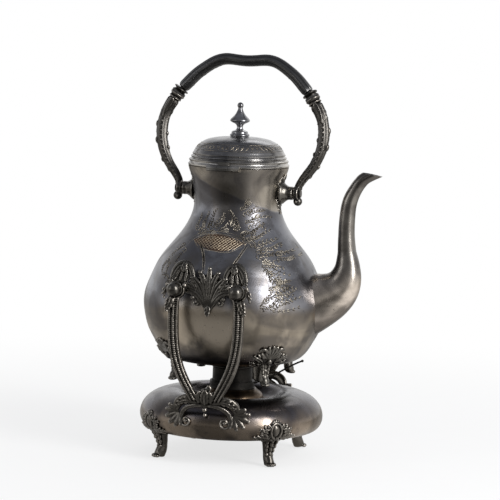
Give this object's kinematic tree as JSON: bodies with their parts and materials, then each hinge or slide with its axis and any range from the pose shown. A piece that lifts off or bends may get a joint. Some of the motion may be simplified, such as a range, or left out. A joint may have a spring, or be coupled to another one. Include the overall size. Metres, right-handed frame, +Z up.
{
  "type": "tilting kettle on a burner stand",
  "caption": "Pear-shaped engraved kettle with swing handle, hinged lid and S-shaped spout, hung on trunnions in a round footed stand with a spirit burner.",
  "frame": {"origin": "on the ground, under the middle of the whole object's outline, 27.7 mm from the kettle's axis towards the spout", "axes": "+Z up, +X towards the spout, -Y the near side bracket"},
  "size_m": [0.2394, 0.2224, 0.4011],
  "materials": {
    "base_silver": "tarnished silver plate, purple-grey toning",
    "burner_black": "sooted dark metal",
    "burner_brass": "sooted copper-brown metal",
    "cast_silver": "cast and chased silver plate, dark hollows, worn edges",
    "grip_silver": "dark toned grip with long grooves",
    "handle_cast_silver": "cast and chased silver plate, nearly black",
    "insulator_dark": "dark heat break washers",
    "kettle_silver": "tarnished silver plate, engraved, warm and dark zones",
    "lid_silver": "tarnished silver plate, polished",
    "plain_brass": "plain brass fasteners",
    "plain_steel": "plain metal",
    "stand_cast_silver": "cast and chased silver plate, dark hollows, worn edges",
    "wick_cotton": "cotton wick"
  },
  "bodies": {
    "stand": {"base_bottom_plate": "plain_steel", "base_foot_front_far": "stand_cast_silver", "base_foot_front_near": "stand_cast_silver", "base_foot_nuts": "plain_brass", "base_foot_rear_far": "stand_cast_silver", "base_foot_rear_near": "stand_cast_silver", "base_foot_studs": "plain_brass", "base_rim": "base_silver", "base_top": "base_silver", "bracket_far": "stand_cast_silver", "bracket_near": "stand_cast_silver", "bracket_nuts": "plain_brass", "bracket_screws": "plain_brass", "burner_chimney": "burner_black", "burner_reservoir": "burner_brass", "burner_well": "burner_brass", "wick": "wick_cotton", "wick_tube": "burner_brass"},
    "lid": {"finial": "lid_silver", "finial_nut": "plain_brass", "hinge_leaf_lid": "lid_silver", "lid_flange": "lid_silver", "lid_shell": "lid_silver"},
    "handle": {"handle_arm_front": "handle_cast_silver", "handle_arm_rear": "handle_cast_silver", "handle_dowel_front": "plain_steel", "handle_dowel_rear": "plain_steel", "handle_ferrule_front": "handle_cast_silver", "handle_ferrule_rear": "handle_cast_silver", "handle_grip": "grip_silver", "insulator_front": "insulator_dark", "insulator_rear": "insulator_dark"},
    "kettle": {"handle_pin_front": "cast_silver", "handle_pin_rear": "cast_silver", "handle_socket_front": "cast_silver", "handle_socket_rear": "cast_silver", "hinge_leaf_kettle": "lid_silver", "hinge_pin": "plain_steel", "kettle_bowl": "kettle_silver", "kettle_floor": "kettle_silver", "kettle_foot_front_far": "cast_silver", "kettle_foot_front_near": "cast_silver", "kettle_foot_rear_far": "cast_silver", "kettle_foot_rear_near": "cast_silver", "kettle_neck": "kettle_silver", "kettle_shoulder": "kettle_silver", "lug_far": "cast_silver", "lug_near": "cast_silver", "spout": "kettle_silver", "trunnion_rear_far": "cast_silver", "trunnion_rear_near": "cast_silver"},
    "regulator": {"regulator_collar": "burner_black", "regulator_knob": "burner_black", "regulator_lever": "burner_black"},
    "front_trunnions": {"trunnion_front_far": "cast_silver", "trunnion_front_near": "cast_silver"}
  },
  "joints": [
    {"name": "kettle_lift", "type": "slide", "parent": "stand", "child": "front_trunnions", "axis": [0, 0, 1], "range_m": [0, 0.12]},
    {"name": "kettle_tilt", "type": "hinge", "parent": "front_trunnions", "child": "kettle", "pos_m": [0.00358, 0, 0.175], "axis": [0, 1, 0], "range_deg": [0, 55]},
    {"name": "lid_hinge", "type": "hinge", "parent": "kettle", "child": "lid", "pos_m": [-0.02772, -0.0543, 0.29], "axis": [1, 0, 0], "range_deg": [0, 100]},
    {"name": "handle_swing", "type": "hinge", "parent": "kettle", "child": "handle", "pos_m": [-0.02772, 0, 0.265], "axis": [-1, 0, 0], "range_deg": [-99, 81]},
    {"name": "regulator_turn", "type": "hinge", "parent": "stand", "child": "regulator", "pos_m": [-0.02772, 0, 0], "axis": [0, 0, 1], "range_deg": [-30, 10]}
  ]
}
